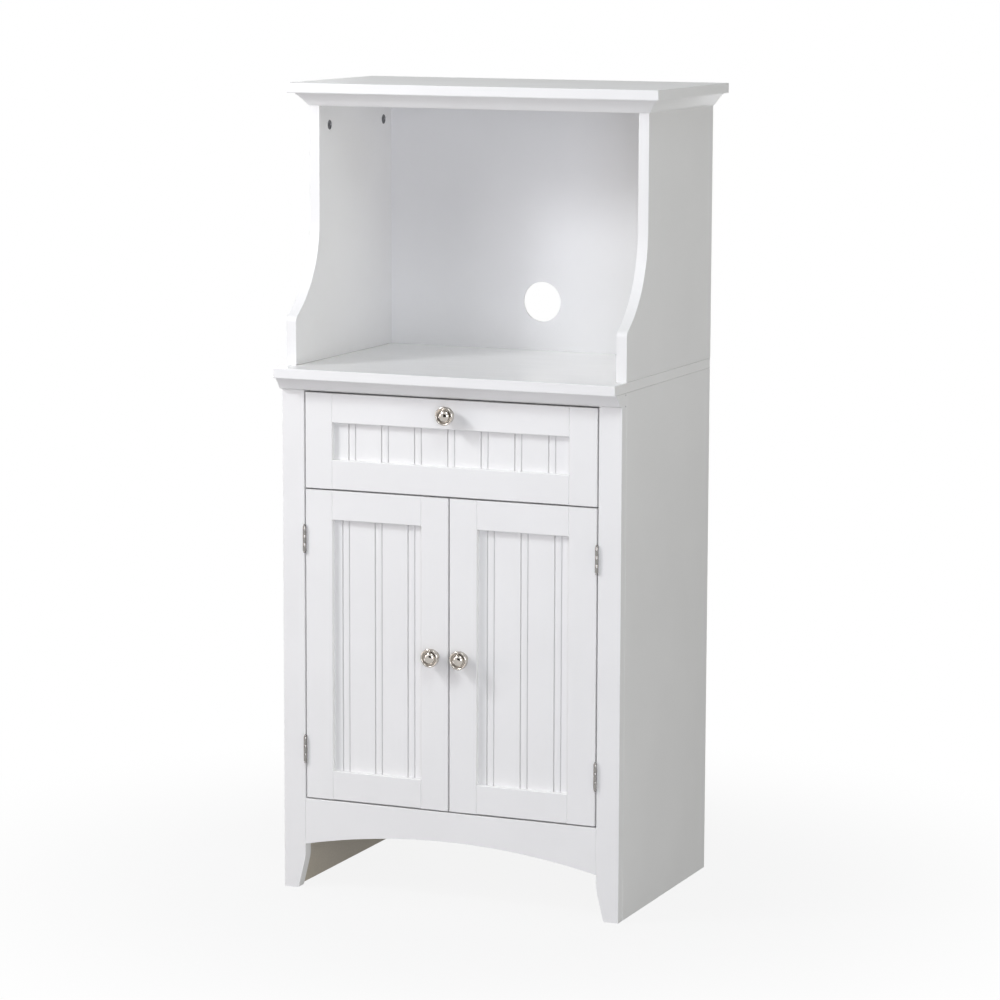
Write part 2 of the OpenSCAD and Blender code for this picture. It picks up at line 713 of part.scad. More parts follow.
module catch_bodies() color(nylon) on_both() difference() {
    translate([catch_x - catch_size.x / 2, catch_y, divider_z0 - catch_size.z]) cube(catch_size);
    // the middle of the face is set back between the two pole plates
    translate([catch_x - catch_size.x / 2 + 4, catch_y - past, divider_z0 - catch_size.z / 2 - 2])
        cube([catch_size.x - 8, past + 0.5, 4]);
}

// ---------- Hinges ----------

// Leaf with its knuckles, drawn for the frame: the leaf lies at +X of the barrel
module hinge_leaf(knuckles) {
    leaf_x = gap / 2;
    leaf_y0 = barrel_r + 0.35;
    difference() {
        union() {
            block([leaf_x - leaf_t, leaf_y0, 0], [leaf_x, leaf_y0 + leaf_w, hinge_h]);
            for (k = knuckles) translate([0, 0, k * (knuckle_h + knuckle_gap)]) {
                cylinder(h = knuckle_h, r = barrel_r, $fn = 48);
                block([leaf_x - leaf_t, hinge_pin_r + 0.4, 0], [leaf_x, leaf_y0 + leaf_t, knuckle_h]);
            }
        }
        translate([0, 0, -past]) cylinder(h = hinge_h + 2 * past, r = hinge_pin_r + pin_fit, $fn = 48);
    }
}

module hinge_frame_leaves() color(nickel) on_both()
    for (z = hinge_zs) translate([hinge_x, hinge_y, z]) hinge_leaf([0, 2]);

module door_hinge_leaves() color(nickel)
    for (z = hinge_zs) translate([hinge_x, hinge_y, z]) mirror([1, 0, 0]) hinge_leaf([1]);

// Pin with a ball tip at each end
module hinge_pins() color(nickel) on_both()
    for (z = hinge_zs) translate([hinge_x, hinge_y, z]) {
        cylinder(h = hinge_h, r = hinge_pin_r, $fn = 48);
        for (end = [0, 1]) translate([0, 0, end * hinge_h]) mirror([0, 0, 1 - end])
            rotate_extrude($fn = 48) polygon(concat(
                [[0, 0], [pin_tip_r, 0], [pin_tip_r, pin_cap_h]],
                arc([0, pin_cap_h + pin_tip_r * 0.6], pin_tip_r, -30, 90, 8)));
    }

// ---------- Nodes ----------

top_board();
crown_front();
on_left() crown_side();  // crown_left
crown_side();  // crown_right
on_left() hutch_side();  // hutch_side_left
hutch_side();  // hutch_side_right
hutch_back_panel();
counter_board();
counter_moulding();
frame_top_rail();
on_left() stile();  // stile_left
stile();  // stile_right
apron();
on_left() base_side();  // base_side_left
base_side();  // base_side_right
base_back_panel();
bottom_panel();
divider_rail();
shelf();
shelf_pins();
cam_locks();
cam_bolts();
slide_cleats();
on_left() slide_channel();  // slide_channel_left
slide_channel();  // slide_channel_right
on_left() roller(channel_roller_y, channel_roller_z);  // channel_roller_left
roller(channel_roller_y, channel_roller_z);  // channel_roller_right
on_left() drawer_front_stile();  // drawer_front_stile_left
drawer_front_stile();  // drawer_front_stile_right
drawer_front_rail_top();
drawer_front_rail_bottom();
drawer_front_panel();
on_left() drawer_side();  // drawer_side_left
drawer_side();  // drawer_side_right
drawer_back();
drawer_bottom();
knob(0, drawer_knob_z);  // drawer_knob
on_left() slide_runner();  // slide_runner_left
slide_runner();  // slide_runner_right
on_left() roller(runner_roller_y, runner_roller_z);  // runner_roller_left
roller(runner_roller_y, runner_roller_z);  // runner_roller_right
on_left() door_hinge_stile();  // left_door_hinge_stile
on_left() door_meeting_stile();  // left_door_meeting_stile
on_left() door_top_rail();  // left_door_top_rail
on_left() door_bottom_rail();  // left_door_bottom_rail
on_left() door_panel();  // left_door_panel
on_left() door_knob();  // left_door_knob
on_left() door_hinge_leaves();  // left_door_hinge_leaves
on_left() door_strike();  // left_door_strike
door_hinge_stile();  // right_door_hinge_stile
door_meeting_stile();  // right_door_meeting_stile
door_top_rail();  // right_door_top_rail
door_bottom_rail();  // right_door_bottom_rail
door_panel();  // right_door_panel
door_knob();  // right_door_knob
door_hinge_leaves();  // right_door_hinge_leaves
door_strike();  // right_door_strike
hinge_frame_leaves();
hinge_pins();
catch_bodies();
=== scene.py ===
from math import cos, pi, radians, sin

import bpy
from mathutils import Matrix, Vector


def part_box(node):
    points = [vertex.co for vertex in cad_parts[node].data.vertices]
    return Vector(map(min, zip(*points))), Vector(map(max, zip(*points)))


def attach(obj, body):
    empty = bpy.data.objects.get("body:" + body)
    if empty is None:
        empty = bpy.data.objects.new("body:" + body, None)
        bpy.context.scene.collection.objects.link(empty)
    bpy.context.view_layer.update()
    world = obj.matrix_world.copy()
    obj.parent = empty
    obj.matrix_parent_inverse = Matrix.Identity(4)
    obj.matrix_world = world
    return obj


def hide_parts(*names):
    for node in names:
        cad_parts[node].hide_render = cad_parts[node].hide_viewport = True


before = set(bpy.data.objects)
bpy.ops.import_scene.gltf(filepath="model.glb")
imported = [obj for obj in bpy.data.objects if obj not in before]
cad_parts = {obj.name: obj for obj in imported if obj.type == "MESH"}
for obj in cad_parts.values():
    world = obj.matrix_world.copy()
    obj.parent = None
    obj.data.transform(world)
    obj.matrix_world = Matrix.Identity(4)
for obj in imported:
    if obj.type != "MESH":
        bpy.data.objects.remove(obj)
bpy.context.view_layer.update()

# ---------- Camera ----------
# A long lens about 5.6 m away, at chest height and off to the right of the cabinet,
# so that its front and its right side both show. It looks down by 8.6 degrees.
turned_left = 0.4030
tipped_down = 0.1509
rolled = 0.0034
lens_place = (2.20760, -5.15541, 1.44329)
ahead = Vector((-sin(turned_left) * cos(tipped_down), cos(turned_left) * cos(tipped_down),
                -sin(tipped_down)))
level = Vector((cos(turned_left), sin(turned_left), 0))
upright = level.cross(ahead)
right = cos(rolled) * level + sin(rolled) * upright
up = cos(rolled) * upright - sin(rolled) * level

bpy.ops.object.camera_add()
camera = bpy.context.object
camera.name = "product_camera"
camera.data.sensor_width = 36
camera.data.lens = 134.44
camera.data.clip_end = 200
stand = Matrix((right, up, -ahead)).transposed().to_4x4()
stand.translation = lens_place
camera.matrix_world = stand
bpy.context.scene.camera = camera
bpy.context.scene.view_settings.view_transform = "Standard"

# ---------- Studio ----------
# A plain pale floor takes the cabinet's soft shadow and fades out to white. Softboxes stand
# round the cabinet; the nearest, high at the front left, throws the shadows of the knobs.
# Dark boards that only reflections see give polished metal its dark shapes.


def reckoned(tree, operation, *terms):
    """The result of a Math node; each term is a socket or a number."""
    sum_node = tree.nodes.new("ShaderNodeMath")
    sum_node.operation = operation
    for socket, term in zip(sum_node.inputs, terms):
        if isinstance(term, (int, float)):
            socket.default_value = term
        else:
            tree.links.new(term, socket)
    return sum_node.outputs[0]


def ranged(tree, value, source=(0, 1), result=(0, 1), steps="LINEAR"):
    """A value moved from one range to another, and kept inside it."""
    span = tree.nodes.new("ShaderNodeMapRange")
    span.interpolation_type = steps
    span.inputs["From Min"].default_value, span.inputs["From Max"].default_value = source
    span.inputs["To Min"].default_value, span.inputs["To Max"].default_value = result
    tree.links.new(value, span.inputs["Value"])
    return span.outputs["Result"]


def background_seen(tree):
    """1 where a look meets the background, directly or in metal or through glass, and else 0."""
    look = tree.nodes.new("ShaderNodeLightPath").outputs
    direct_or_mirrored = reckoned(tree, "MAXIMUM", look["Is Camera Ray"], look["Is Glossy Ray"])
    return reckoned(tree, "MAXIMUM", direct_or_mirrored, look["Is Transmission Ray"])


# distances from the middle of the floor, and how white it is at the cabinet's feet
floor_reach = 7.0
shadow_reach = 0.30
white_from = 1.1
least_white = 0.88
bpy.ops.object.select_all(action="DESELECT")
bpy.ops.mesh.primitive_circle_add(vertices=96, radius=floor_reach, fill_type="NGON")
floor = bpy.context.object
floor.name = "studio_floor"
sweep = bpy.data.materials.new("white_sweep")
sweep.use_nodes = True
tree = sweep.node_tree
matt = tree.nodes["Principled BSDF"]
matt.inputs["Base Color"].default_value = (0.45, 0.45, 0.45, 1)
matt.inputs["Roughness"].default_value = 0.9
matt.inputs["Specular IOR Level"].default_value = 0.1
white = tree.nodes.new("ShaderNodeEmission")
white.inputs["Strength"].default_value = 1.0
from_middle = tree.nodes.new("ShaderNodeVectorMath")
from_middle.operation = "LENGTH"
tree.links.new(tree.nodes.new("ShaderNodeTexCoord").outputs["Object"], from_middle.inputs[0])
whiteness = ranged(tree, from_middle.outputs["Value"], (shadow_reach, white_from),
                   (least_white, 1), "SMOOTHSTEP")
blend = tree.nodes.new("ShaderNodeMixShader")
tree.links.new(reckoned(tree, "MULTIPLY", background_seen(tree), whiteness), blend.inputs["Fac"])
tree.links.new(matt.outputs["BSDF"], blend.inputs[1])
tree.links.new(white.outputs["Emission"], blend.inputs[2])
tree.links.new(blend.outputs["Shader"], tree.nodes["Material Output"].inputs["Surface"])
floor.data.materials.append(sweep)

room = bpy.data.worlds.new("studio_room")
bpy.context.scene.world = room
room.use_nodes = True
tree = room.node_tree
air = tree.nodes["Background"]
air.inputs["Color"].default_value = (1, 1, 1, 1)
air.inputs["Strength"].default_value = 0.15
backdrop = tree.nodes.new("ShaderNodeBackground")
backdrop.inputs["Color"].default_value = (1, 1, 1, 1)
backdrop.inputs["Strength"].default_value = 1.0
blend = tree.nodes.new("ShaderNodeMixShader")
tree.links.new(background_seen(tree), blend.inputs["Fac"])
tree.links.new(air.outputs["Background"], blend.inputs[1])
tree.links.new(backdrop.outputs["Background"], blend.inputs[2])
tree.links.new(blend.outputs["Shader"], tree.nodes["World Output"].inputs["Surface"])

lamps_aim = Vector((0, 0, 0.62))


def soft_lamp(name, round_from_front, height, distance, size, watts, colour):
    """A square softbox that faces the cabinet; angles in degrees, and left is positive."""
    turn, lift = radians(round_from_front), radians(height)
    way = Vector((-sin(turn) * cos(lift), -cos(turn) * cos(lift), sin(lift)))
    bpy.ops.object.light_add(type="AREA", location=lamps_aim + way * distance)
    lamp = bpy.context.object
    lamp.name = name
    lamp.rotation_mode = "QUATERNION"
    lamp.rotation_quaternion = way.to_track_quat("Z", "Y")
    lamp.data.size = size
    lamp.data.energy = watts
    lamp.data.color = colour


soft_lamp("key_left", 40, 28, 3.4, 1.3, 23.0, (0.977, 0.963, 1.0))
soft_lamp("near_left", 50, 35, 2.2, 0.36, 16.0, (0.95, 0.97, 1.0))
soft_lamp("low_left", 60, 5, 3.4, 1.3, 20.0, (1.0, 0.90, 0.86))
soft_lamp("high_right", -30, 50, 3.4, 1.3, 21.6, (0.932, 0.983, 1.0))
soft_lamp("low_front", -30, 5, 3.4, 1.3, 33.2, (0.88, 0.89, 1.0))
soft_lamp("side_right", -70, 8, 3.4, 1.3, 13.0, (1.0, 0.975, 0.80))
soft_lamp("behind_left", 140, 3, 3.4, 1.3, 32.0, (1.0, 0.98, 0.96))
soft_lamp("behind", 180, 3, 3.4, 1.3, 34.0, (0.96, 0.97, 1.0))

black_cloth = bpy.data.materials.new("black_cloth")
black_cloth.use_nodes = True
cloth = black_cloth.node_tree.nodes["Principled BSDF"]
cloth.inputs["Base Color"].default_value = (0.02, 0.018, 0.016, 1)
cloth.inputs["Roughness"].default_value = 0.95
cards_aim = Vector((0, 0, 0.5))
cards_away = 4.2


def dark_card(name, towards, width, height):
    """A dark board that only reflections see, so that polished metal has dark shapes in it."""
    way = Vector(towards).normalized()
    bpy.ops.object.select_all(action="DESELECT")
    bpy.ops.mesh.primitive_plane_add(size=1, location=cards_aim + way * cards_away)
    card = bpy.context.object
    card.name = name
    card.scale = (width, height, 1)
    card.rotation_mode = "QUATERNION"
    card.rotation_quaternion = way.to_track_quat("Z", "Y")
    card.data.materials.append(black_cloth)
    card.visible_camera = card.visible_diffuse = card.visible_shadow = False
    card.visible_transmission = card.visible_volume_scatter = False


dark_card("card_left", (-0.95, -0.30, 0.22), 2.0, 3.4)
dark_card("card_right", (0.90, -0.42, 0.30), 1.7, 3.2)
dark_card("card_above", (0.05, -0.55, 0.95), 3.8, 1.3)
dark_card("card_front", (-0.10, -1.0, -0.02), 2.4, 2.4)

# ---------- Case sides, floor and back ----------
# The sides and floor are medium-density board, sprayed with white satin paint; the back is
# thin hardboard that slides down in grooves. Under the floor the faces are coloured a darker
# pale brown, a painted shade in a bare board's tone.


def grain(tree, where, scale, detail):
    """Noise of that scale and detail, from 0 to 1."""
    noise = tree.nodes.new("ShaderNodeTexNoise")
    noise.inputs["Scale"].default_value = scale
    noise.inputs["Detail"].default_value = detail
    tree.links.new(where, noise.inputs["Vector"])
    return noise.outputs["Fac"]


def streaks(tree, where, scales, detail):
    """Noise of its own scale along x, y and z, so that it is drawn out into streaks."""
    drawn_out = tree.nodes.new("ShaderNodeMapping")
    drawn_out.inputs["Scale"].default_value = scales
    tree.links.new(where, drawn_out.inputs["Vector"])
    return grain(tree, drawn_out.outputs["Vector"], 1.0, detail)


def two_tones(tree, amount, first, second, ends=(0.3, 0.7)):
    """A colour that runs from the first tone to the second between two amounts."""
    shade = tree.nodes.new("ShaderNodeValToRGB")
    for step, position, tone in zip(shade.color_ramp.elements, ends, (first, second)):
        step.position = position
        step.color = (*tone, 1)
    tree.links.new(amount, shade.inputs["Fac"])
    return shade.outputs["Color"]


def relief(tree, height, strength, distance, under=None):
    """The normal of a slightly uneven surface, laid over another relief if one is given."""
    bump = tree.nodes.new("ShaderNodeBump")
    bump.inputs["Strength"].default_value = strength
    bump.inputs["Distance"].default_value = distance
    tree.links.new(height, bump.inputs["Height"])
    if under is not None:
        tree.links.new(under, bump.inputs["Normal"])
    return bump.outputs["Normal"]


def satin_paint(name, run, tone=(0.86, 0.858, 0.85), dull=(0.34, 0.52)):
    """White satin paint whose faint brush marks run along x, y or z; dull is how rough it is."""
    paint = bpy.data.materials.new(name)
    paint.use_nodes = True
    tree = paint.node_tree
    skin = tree.nodes["Principled BSDF"].inputs
    skin["Specular IOR Level"].default_value = 0.42
    where = tree.nodes.new("ShaderNodeTexCoord").outputs["Object"]
    # soft clouding, where the coat is a little thicker or thinner
    thin_coat = [0.972 * c for c in tone]
    clouds = two_tones(tree, grain(tree, where, 7.0, 3.0), thin_coat, tone, (0.32, 0.68))
    # long faint marks along the run, and over them the fine stipple of a sprayed coat
    marks = streaks(tree, where, [9 if axis == run else 260 for axis in "xyz"], 4.0)
    ridges = relief(tree, marks, 0.10, 0.0002)
    stipple = relief(tree, grain(tree, where, 850.0, 2.0), 0.12, 0.0001, ridges)
    tree.links.new(clouds, skin["Base Color"])
    tree.links.new(ranged(tree, marks, result=dull), skin["Roughness"])
    tree.links.new(stipple, skin["Normal"])
    return paint


def second_tone(paint, share):
    """Lets a second tone into a paint by that share, and gives the tone's socket."""
    tree = paint.node_tree
    base = tree.nodes["Principled BSDF"].inputs["Base Color"]
    coat = tree.nodes.new("ShaderNodeMix")
    coat.data_type = "RGBA"
    # the colour sockets of a Mix node share their names with others, so they go by number
    amount, tone_1, tone_2, mixed = coat.inputs[0], coat.inputs[6], coat.inputs[7], coat.outputs[2]
    tree.links.new(share, amount)
    tree.links.new(base.links[0].from_socket, tone_1)
    tree.links.new(mixed, base)
    return tone_2


def finish_nodes(material, *names):
    """Gives CAD nodes a finish, in every material slot they have."""
    for name in names:
        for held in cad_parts[name].material_slots:
            held.material = material


paint_upright = satin_paint("satin_paint_upright", "z")
paint_across = satin_paint("satin_paint_across", "x")
paint_deep = satin_paint("satin_paint_deep", "y")
# added to a limit, so that a face right on it still counts as inside
margin = 0.0001


def painted_shade_below(name, run):
    """Satin paint that turns a darker pale brown under the cabinet floor: painted shade there."""
    paint = satin_paint(name, run)
    tree = paint.node_tree
    where = tree.nodes.new("ShaderNodeTexCoord").outputs["Object"]
    axes = tree.nodes.new("ShaderNodeSeparateXYZ")
    tree.links.new(where, axes.inputs["Vector"])
    side_inner_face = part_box("base_side_right")[0][0]
    floor_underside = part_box("bottom_panel")[0][2]
    off_middle = reckoned(tree, "ABSOLUTE", axes.outputs["X"])
    inside = reckoned(tree, "LESS_THAN", off_middle, side_inner_face + margin)
    below = reckoned(tree, "LESS_THAN", axes.outputs["Z"], floor_underside + margin)
    # painted shade: a darker pale brown on the inner faces and underside below the cabinet floor
    fibres = grain(tree, where, 420.0, 5.0)
    shade_brown = two_tones(tree, fibres, (0.48, 0.43, 0.34), (0.56, 0.51, 0.41))
    tree.links.new(shade_brown, second_tone(paint, reckoned(tree, "MULTIPLY", inside, below)))
    return paint


finish_nodes(painted_shade_below("side_paint_and_painted_shade", "z"), "base_side_left", "base_side_right")
finish_nodes(painted_shade_below("floor_paint_and_painted_shade", "x"), "bottom_panel")

hardboard = satin_paint("painted_hardboard", "x", (0.84, 0.84, 0.838))
finish_nodes(hardboard, "base_back_panel")

# ---------- Face frame ----------
# Two stiles with tapered feet, an arched apron and a rail under the counter, of solid
# wood glued edge to edge and painted after gluing.
finish_nodes(paint_upright, "stile_left", "stile_right")
finish_nodes(paint_across, "apron", "frame_top_rail", "divider_rail")

# ---------- Counter ----------
# A board on top of the case, held by cam locks, with a harder and smoother lacquer than
# the rest, and a painted cove moulding pinned under its front edge.
counter_lacquer = satin_paint("counter_lacquer", "x", (0.87, 0.868, 0.86), (0.13, 0.22))
finish_nodes(counter_lacquer, "counter_board")
finish_nodes(paint_across, "counter_moulding")

# ---------- Hutch ----------
# Two scooped sides on the counter, a thin back with a round hole for the oven's lead, and
# the top board with its mitred crown moulding.
finish_nodes(paint_upright, "hutch_side_left", "hutch_side_right")
finish_nodes(paint_across, "top_board", "crown_front")
finish_nodes(paint_deep, "crown_left", "crown_right")
finish_nodes(hardboard, "hutch_back_panel")

# ---------- Cam locks ----------
# Zinc die-cast discs let into the inner faces of the sides. A cross slot turns each one on
# to the bolt that comes down from the board above.
mm = 0.001


def plated(name, tone, gloss, streak):
    """A plated metal, with fine polishing streaks and smudges that vary its gloss."""
    metal = bpy.data.materials.new(name)
    metal.use_nodes = True
    tree = metal.node_tree
    skin = tree.nodes["Principled BSDF"].inputs
    skin["Metallic"].default_value = 1.0
    where = tree.nodes.new("ShaderNodeTexCoord").outputs["Object"]
    dimmed = [0.9 * c for c in tone]
    smudges = two_tones(tree, grain(tree, where, 160.0, 3.0), dimmed, tone)
    polish = streaks(tree, where, streak, 3.0)
    tree.links.new(smudges, skin["Base Color"])
    tree.links.new(ranged(tree, polish, result=(gloss * 0.7, gloss * 1.4)), skin["Roughness"])
    tree.links.new(relief(tree, polish, 0.05, 0.00005), skin["Normal"])
    return metal


def take(piece):
    """Selects one piece and nothing else."""
    bpy.ops.object.select_all(action="DESELECT")
    piece.select_set(True)
    bpy.context.view_layer.objects.active = piece


def turned(name, rings, sides=96):
    """A lathe-turned piece that stands upright on the origin; rings are (radius, height) in mm."""
    first_r, first_h = rings[0]
    bpy.ops.object.select_all(action="DESELECT")
    bpy.ops.mesh.primitive_circle_add(vertices=sides, radius=first_r * mm, fill_type="NGON",
                                      location=(0, 0, first_h * mm))
    piece = bpy.context.object
    piece.name = name
    bpy.ops.object.transform_apply(location=True)
    bpy.ops.object.mode_set(mode="EDIT")
    bpy.ops.mesh.select_all(action="SELECT")
    for (r0, h0), (r1, h1) in zip(rings, rings[1:]):
        bpy.ops.mesh.extrude_region_move(
            TRANSFORM_OT_translate={"value": (0, 0, (h1 - h0) * mm)})
        bpy.ops.transform.resize(value=(r1 / r0, r1 / r0, 1), center_override=(0, 0, h1 * mm))
    bpy.ops.mesh.select_all(action="SELECT")
    bpy.ops.mesh.normals_make_consistent(inside=False)
    bpy.ops.object.mode_set(mode="OBJECT")
    bpy.ops.object.shade_smooth_by_angle(angle=radians(40))
    return piece


def set_in_place(piece, place, facing):
    """Turns a piece's +Z to the way it faces, moves it to its place and fixes it there."""
    piece.rotation_mode = "QUATERNION"
    piece.rotation_quaternion = Vector(facing).to_track_quat("Z", "Y")
    piece.location = place
    take(piece)
    bpy.ops.object.transform_apply(location=True, rotation=True, scale=True)
    return piece


def another(piece, name):
    """A copy of a piece, with its own mesh."""
    take(piece)
    bpy.ops.object.duplicate(linked=False)
    twin = bpy.context.object
    twin.name = name
    return twin


def cut(piece, cutter):
    """Takes the cutter's shape out of a piece."""
    hollow = piece.modifiers.new("hollow", "BOOLEAN")
    hollow.operation = "DIFFERENCE"
    hollow.solver = "EXACT"
    hollow.object = cutter
    bpy.context.view_layer.update()
    bpy.context.view_layer.objects.active = piece
    bpy.ops.object.modifier_apply(modifier=hollow.name)


def cross_recess(piece, reach, width, low, high):
    """Cuts the cross for a screwdriver into the middle of a head; sizes in mm."""
    bpy.ops.object.select_all(action="DESELECT")
    bpy.ops.mesh.primitive_cube_add(size=mm, location=(0, 0, (low + high) / 2 * mm))
    blade = bpy.context.object
    blade.scale = (2 * reach, width, high - low)
    bpy.ops.object.transform_apply(location=False, rotation=False, scale=True)
    for quarter in (0, pi / 2):
        blade.rotation_euler = (0, 0, quarter)
        cut(piece, blade)
    bpy.data.objects.remove(blade)


zinc = plated("bright_zinc", (0.62, 0.63, 0.64), 0.34, (40, 900, 900))
dark_zinc = plated("dark_zinc_casting", (0.23, 0.23, 0.235), 0.30, (60, 700, 700))
finish_nodes(zinc, "cam_bolts")

cam = turned("cam_lock", (
    (0.4, -12.4), (7.2, -12.4), (7.45, -12.1), (7.45, -0.75), (7.3, -0.35), (6.9, -0.15),
    (6.4, -0.3), (6.15, -0.9), (5.8, -1.25), (3.4, -1.35), (0.4, -1.35)), sides=64)
cross_recess(cam, reach=3.1, width=1.5, low=-3.4, high=0.5)
inner_face = 0.2575
under_top, under_counter = 1.1542, 0.751
cam_places = [(y, under_top) for y in (-0.0355, 0.1585)]
cam_places += [(y, under_counter) for y in (-0.110, 0.1585)]
for side, sign in (("left", -1), ("right", 1)):
    for count, (y, z) in enumerate(cam_places, 1):
        lock = another(cam, f"cam_lock_{side}_{count}")
        set_in_place(lock, (sign * inner_face, y, z), (-sign, 0, 0))
        lock.data.materials.append(dark_zinc)
        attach(lock, "cabinet")
        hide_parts("cam_locks")
bpy.data.objects.remove(cam)

# ---------- Shelf ----------
# A loose painted board that lies on four steel pegs. The pegs push into drilled holes, and
# spare holes let the shelf go higher or lower.
finish_nodes(paint_across, "shelf")
finish_nodes(zinc, "shelf_pins")

# ---------- Roller slides ----------
# Pressed steel channels screwed to cleats in the case, and runners screwed under the drawer
# sides. Each member carries one nylon roller on a riveted axle.
finish_nodes(paint_deep, "slide_cleats")
rolled_zinc = plated("rolled_zinc", (0.72, 0.73, 0.74), 0.38, (900, 30, 900))
finish_nodes(rolled_zinc, "slide_channel_left", "slide_channel_right",
             "slide_runner_left", "slide_runner_right")

nylon = bpy.data.materials.new("white_nylon")
nylon.use_nodes = True
tree = nylon.node_tree
skin = tree.nodes["Principled BSDF"].inputs
mould = grain(tree, tree.nodes.new("ShaderNodeTexCoord").outputs["Object"], 300.0, 2.0)
milky = two_tones(tree, mould, (0.76, 0.76, 0.74), (0.84, 0.84, 0.82), ends=(0, 1))
tree.links.new(milky, skin["Base Color"])
tree.links.new(ranged(tree, mould, result=(0.35, 0.55)), skin["Roughness"])

roller = turned("nylon_roller", (
    (0.5, -3.0), (3.3, -3.0), (3.5, -2.3), (5.3, -2.3), (5.5, -3.0), (6.3, -3.0), (6.75, -2.85),
    (6.97, -2.4), (6.98, 2.4), (6.75, 2.85), (6.3, 3.0), (5.5, 3.0), (5.3, 2.3), (3.5, 2.3),
    (3.3, 3.0), (0.5, 3.0)), sides=64)
axle_bore = 0.00207
# turned a little, so that no corner of the bore lies on an edge of the wheel's face
bore_turn = 0.02
bpy.ops.object.select_all(action="DESELECT")
bpy.ops.mesh.primitive_cylinder_add(vertices=48, radius=axle_bore, depth=0.01,
                                    rotation=(0, 0, bore_turn))
bore = bpy.context.object
cut(roller, bore)
bpy.data.objects.remove(bore)
for end, carrier in (("front", "channel"), ("rear", "runner")):
    for side in ("left", "right"):
        node = f"{carrier}_roller_{side}"
        low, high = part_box(node)
        wheel = another(roller, node + "_wheel")
        set_in_place(wheel, [(a + b) / 2 for a, b in zip(low, high)], (1, 0, 0))
        wheel.data.materials.append(nylon)
        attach(wheel, f"{end}_roller_{side}")
        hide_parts(node)
bpy.data.objects.remove(roller)


def screw_from(master, name, place, facing, body):
    """Drives a copy of a screw in at that place, with its head facing that way."""
    screw = set_in_place(another(master, name), place, facing)
    screw.data.materials.append(zinc)
    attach(screw, body)


# countersunk for the channels and drawer sides, and low pan heads under the runners
flat_screw = turned("flat_screw", (
    (0.3, -11.0), (1.4, -9.8), (1.5, -1.6), (3.1, -0.02), (3.05, 0.1), (0.3, 0.1)), sides=32)
cross_recess(flat_screw, reach=1.6, width=0.7, low=-1.0, high=0.5)
pan_screw = turned("pan_screw", (
    (0.3, -9.0), (1.5, -8.0), (1.6, 0.0), (3.2, 0.0), (3.2, 0.35), (3.0, 0.65), (2.4, 0.88),
    (1.6, 0.95), (0.3, 0.95)), sides=32)
cross_recess(pan_screw, reach=1.7, width=0.7, low=0.15, high=1.5)
channel_web, web_middle = 0.2363, 0.6345
runner_middle, runner_underside = 0.219, 0.62405
for side, sign in (("left", -1), ("right", 1)):
    for count, y in enumerate((-0.115, 0.005, 0.125), 1):
        screw_from(flat_screw, f"channel_screw_{side}_{count}",
                   (sign * channel_web, y, web_middle), (-sign, 0, 0), "cabinet")
    for count, y in enumerate((-0.100, 0.0, 0.100), 1):
        screw_from(pan_screw, f"runner_screw_{side}_{count}",
                   (sign * runner_middle, y, runner_underside), (0, 0, -1), "drawer")

# ---------- Drawer box ----------
# Painted sides and back round a thin bottom that slides in grooves. The sides are fixed
# straight to the back of the drawer front.
finish_nodes(paint_deep, "drawer_side_left", "drawer_side_right")
finish_nodes(paint_across, "drawer_back")
finish_nodes(hardboard, "drawer_bottom")
side_outer_face = 0.225
back_middle = 0.156
for side, sign in (("left", -1), ("right", 1)):
    for count, z in enumerate((0.662, 0.703), 1):
        screw_from(flat_screw, f"drawer_back_screw_{side}_{count}",
                   (sign * side_outer_face, back_middle, z), (sign, 0, 0), "drawer")

# ---------- Drawer front and doors ----------
# Frames of solid wood with stub tenons, round a thin beaded panel set 8 mm back. The quirks
# beside the beads are painted a little grey towards their bottom: painted shade.


def quirk_shaded_paint(name):
    """Upright satin paint with painted shade, a grey, towards the bottom of the quirks."""
    paint = satin_paint(name, "z")
    tree = paint.node_tree
    axes = tree.nodes.new("ShaderNodeSeparateXYZ")
    tree.links.new(tree.nodes.new("ShaderNodeTexCoord").outputs["Object"], axes.inputs["Vector"])
    panel_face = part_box("left_door_panel")[0][1]
    unshaded_to, full_shade_from, quirk_bottom = [panel_face + deep for deep in (0.0006, 0.0015, 0.0018)]
    # painted shade in the quirks: grey from 0.6 mm deep, full by 1.5 mm, and none past 1.8 mm
    quirk_shade_ramp = ranged(tree, axes.outputs["Y"], (unshaded_to, full_shade_from))
    before_back = reckoned(tree, "LESS_THAN", axes.outputs["Y"], quirk_bottom)
    painted_quirk_shade = reckoned(tree, "MULTIPLY", quirk_shade_ramp, before_back)
    second_tone(paint, painted_quirk_shade).default_value = (0.69, 0.685, 0.675, 1)
    return paint


finish_nodes(quirk_shaded_paint("beaded_panel_paint_quirk_shade"), "drawer_front_panel", "left_door_panel",
             "right_door_panel")
finish_nodes(paint_upright, "drawer_front_stile_left", "drawer_front_stile_right")
finish_nodes(paint_across, "drawer_front_rail_top", "drawer_front_rail_bottom")
for side in ("left", "right"):
    finish_nodes(paint_upright, side + "_door_hinge_stile", side + "_door_meeting_stile")
    finish_nodes(paint_across, side + "_door_top_rail", side + "_door_bottom_rail")

# ---------- Knobs ----------
# Solid knobs turned from bar and plated with polished nickel: a round foot, a narrow neck,
# a broad rim and a raised ring round a domed button. A screw holds each from behind.
nickel = plated("polished_nickel", (0.54, 0.505, 0.465), 0.05, (500, 500, 60))

